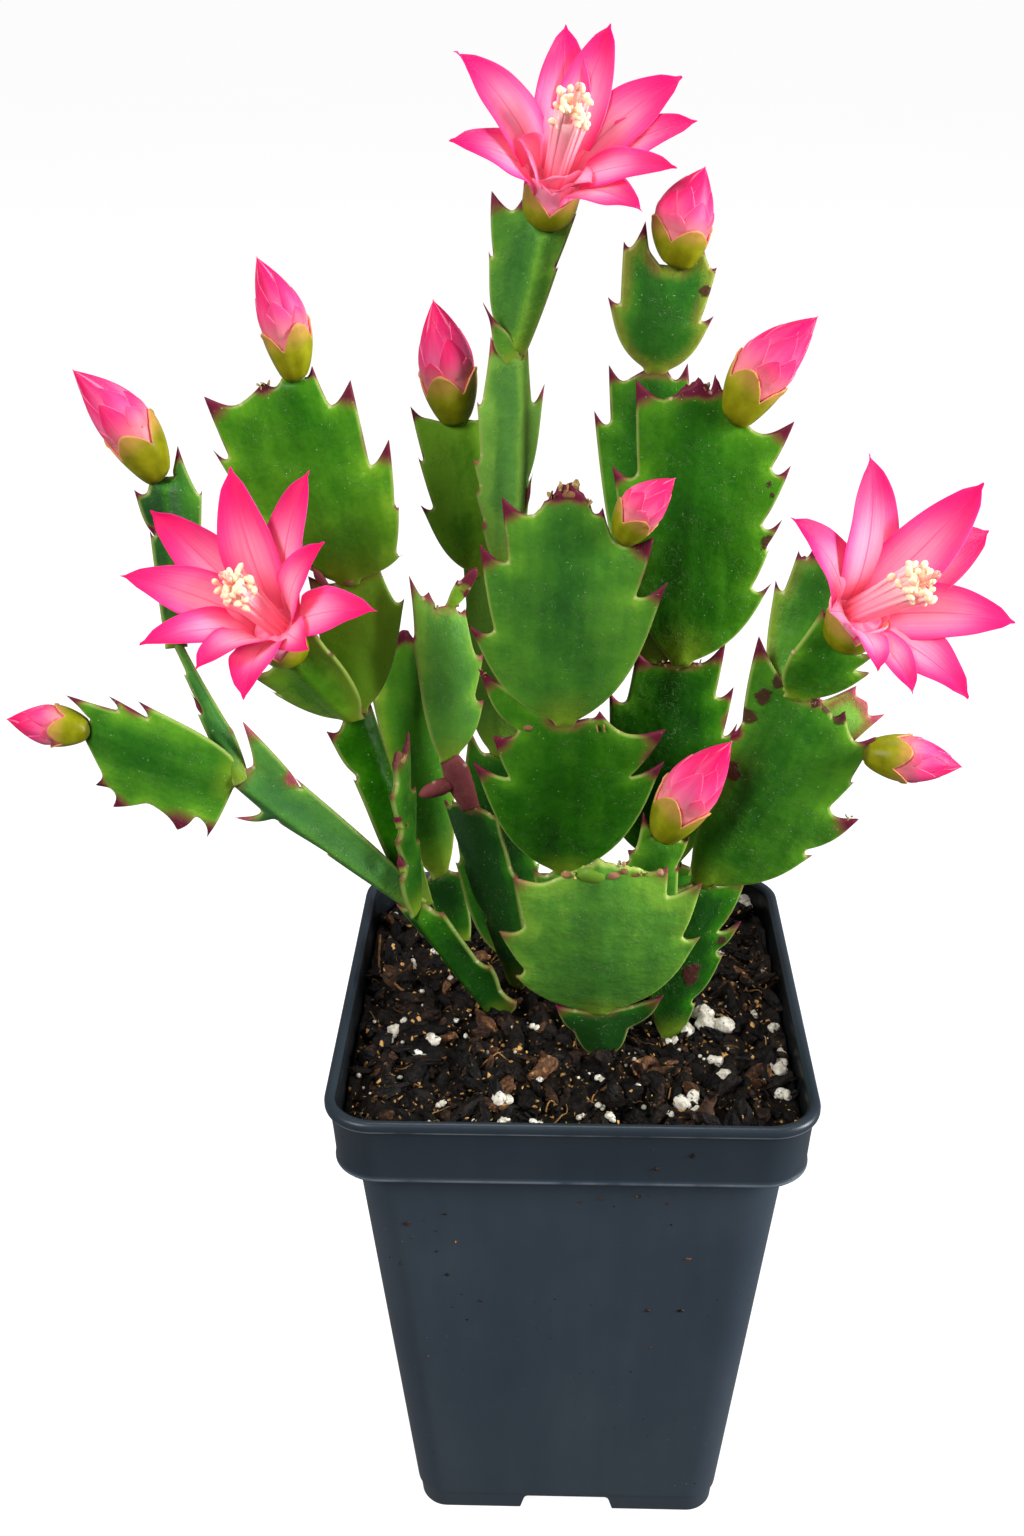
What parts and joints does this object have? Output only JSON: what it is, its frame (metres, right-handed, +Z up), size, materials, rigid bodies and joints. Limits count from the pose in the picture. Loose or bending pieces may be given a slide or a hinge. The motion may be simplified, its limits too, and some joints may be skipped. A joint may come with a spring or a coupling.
{
  "type": "potted christmas cactus",
  "caption": "Flat-stemmed christmas cactus with toothed green segments, pink buds and open pink blooms, growing in a square tapered nursery pot of dark potting mix.",
  "frame": {"origin": "centre of the pad in the middle of the pot's underside, on the surface that the pot stands on", "axes": "+Z up, +X to the viewer's right, -Y toward the viewer"},
  "size_m": [0.1886, 0.1, 0.3206],
  "materials": {
    "pot_plastic": "satin",
    "potting_mix": "matte",
    "stem_green": "satin",
    "cup_green": "satin",
    "petal_pink": "satin",
    "anther_cream": "matte"
  },
  "bodies": {
    "root": {"pot": "pot_plastic", "soil": "potting_mix", "stem_front": "stem_green", "stem_centre": "stem_green", "stem_left_centre": "stem_green", "stem_left": "stem_green", "stem_back_left": "stem_green", "stem_tall": "stem_green", "stem_right": "stem_green", "stem_right_front": "stem_green", "bud_1_cup": "cup_green", "bud_1_petals": "petal_pink", "bud_2_cup": "cup_green", "bud_2_petals": "petal_pink", "bud_3_cup": "cup_green", "bud_3_petals": "petal_pink", "bud_4_cup": "cup_green", "bud_4_petals": "petal_pink", "bud_5_cup": "cup_green", "bud_5_petals": "petal_pink", "bud_6_cup": "cup_green", "bud_6_petals": "petal_pink", "bud_7_cup": "cup_green", "bud_7_petals": "petal_pink", "bud_8_cup": "cup_green", "bud_8_petals": "petal_pink", "bud_9_cup": "cup_green", "bud_9_petals": "petal_pink", "bloom_top_ovary": "cup_green", "bloom_top_petals": "petal_pink", "bloom_top_stamens": "anther_cream", "bloom_left_ovary": "cup_green", "bloom_left_petals": "petal_pink", "bloom_left_stamens": "anther_cream", "bloom_right_ovary": "cup_green", "bloom_right_petals": "petal_pink", "bloom_right_stamens": "anther_cream"}
  },
  "joints": []
}
